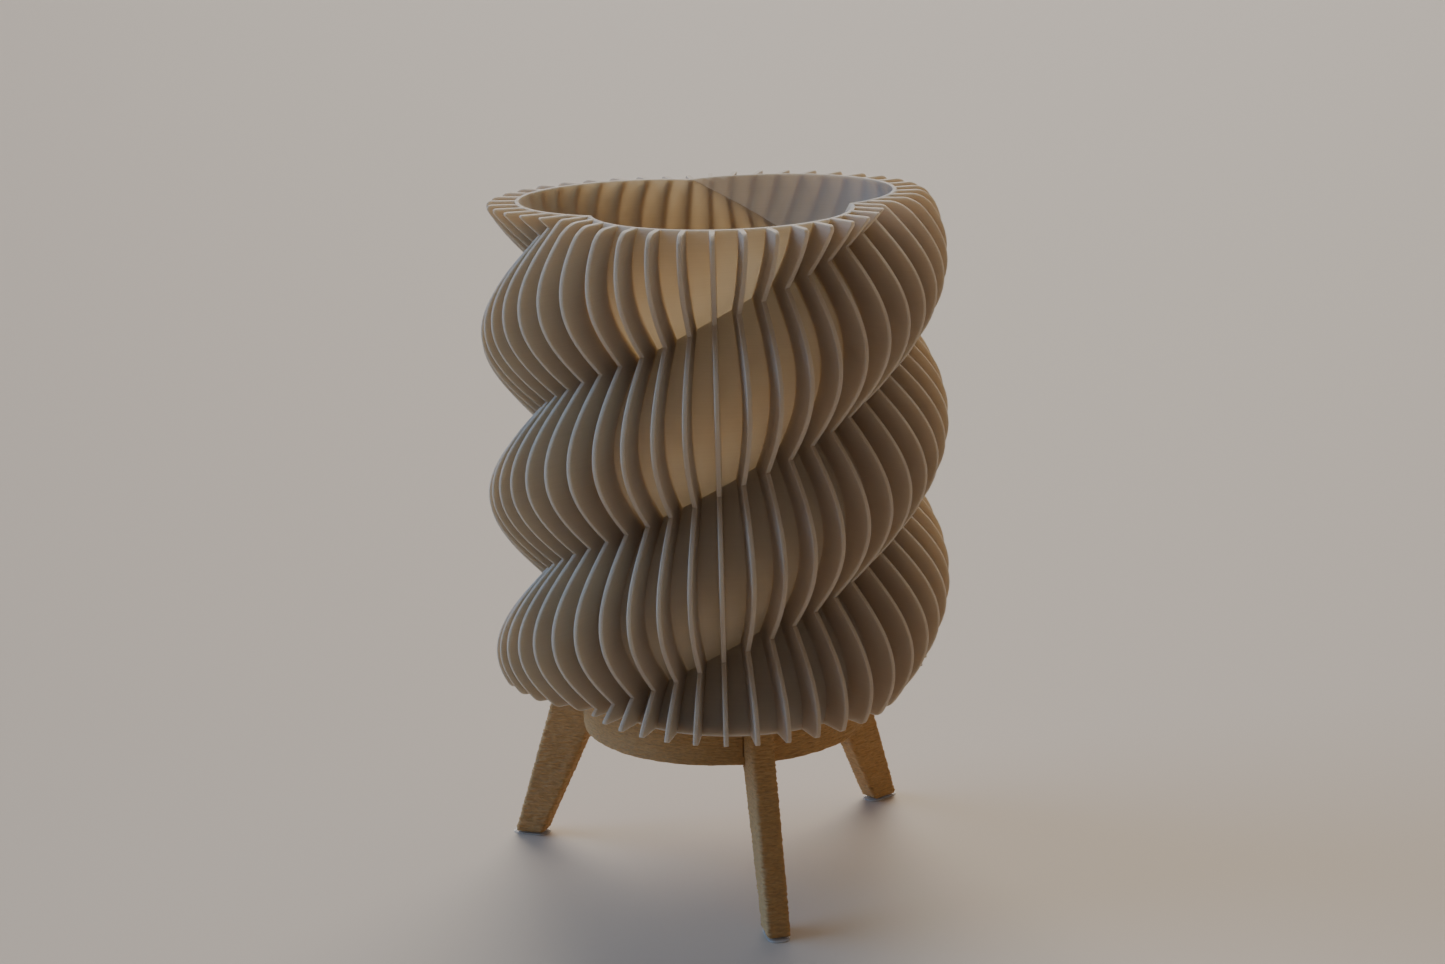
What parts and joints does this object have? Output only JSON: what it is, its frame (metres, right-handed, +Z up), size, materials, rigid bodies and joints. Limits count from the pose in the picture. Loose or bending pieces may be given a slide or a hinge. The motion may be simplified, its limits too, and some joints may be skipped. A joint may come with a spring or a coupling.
{
  "type": "table lamp",
  "caption": "Table lamp with an open-topped, finned and twisted shade of round lobes, lifted off a round base that stands on splayed legs.",
  "frame": {"origin": "on the surface that the lamp stands on, on the common axis of the shade and the round base", "axes": "+Z up along the axis of the shade; -Y to the front, 11.25 degrees beside the front leg; +Y to the back, where the power socket and the button are; +X to the right seen from the front"},
  "size_m": [0.16, 0.1621, 0.2367],
  "materials": {
    "shade_plastic": "matte extruded plastic with fine horizontal layer lines, slightly translucent where the wall is thin",
    "base_plastic": "matte extruded plastic with a rough, grainy skin",
    "clear_pad": "clear soft adhesive pad",
    "screw_steel": "zinc-plated steel",
    "aluminium": "satin",
    "board_white": "white solder mask on an aluminium-core board",
    "board_green": "green solder mask",
    "diffuser_plastic": "frosted",
    "button_plastic": "smooth matte",
    "socket_steel": "satin nickel",
    "switch_black": "matte",
    "lead_red": "smooth insulation",
    "lead_black": "smooth insulation"
  },
  "bodies": {
    "base": {"base_housing": "base_plastic", "bottom_cover": "base_plastic", "leg_front": "base_plastic", "leg_right": "base_plastic", "leg_left": "base_plastic", "foot_pad_front": "clear_pad", "foot_pad_right": "clear_pad", "foot_pad_left": "clear_pad", "leg_screw_front": "screw_steel", "leg_screw_right": "screw_steel", "leg_screw_left": "screw_steel", "cover_screw_front": "screw_steel", "cover_screw_right": "screw_steel", "cover_screw_back": "screw_steel", "led_screw_front": "screw_steel", "led_screw_right": "screw_steel", "led_screw_left": "screw_steel", "driver_screw_left": "screw_steel", "driver_screw_right": "screw_steel", "heat_spreader": "aluminium", "led_board": "board_white", "diffuser": "diffuser_plastic", "driver_board": "board_green", "power_socket": "socket_steel", "switch_body": "switch_black", "lead_red": "lead_red", "lead_black": "lead_black"},
    "shade": {"shade": "shade_plastic"},
    "button": {"power_button": "button_plastic"}
  },
  "joints": [
    {"name": "shade_lift", "type": "slide", "parent": "base", "child": "shade", "axis": [0, 0, 1], "range_m": [0, 0.02]},
    {"name": "button_press", "type": "slide", "parent": "base", "child": "button", "axis": [0, -1, 0], "range_m": [0, 0.001], "stiffness_N_per_m": 400, "springref_m": -0.0005}
  ]
}
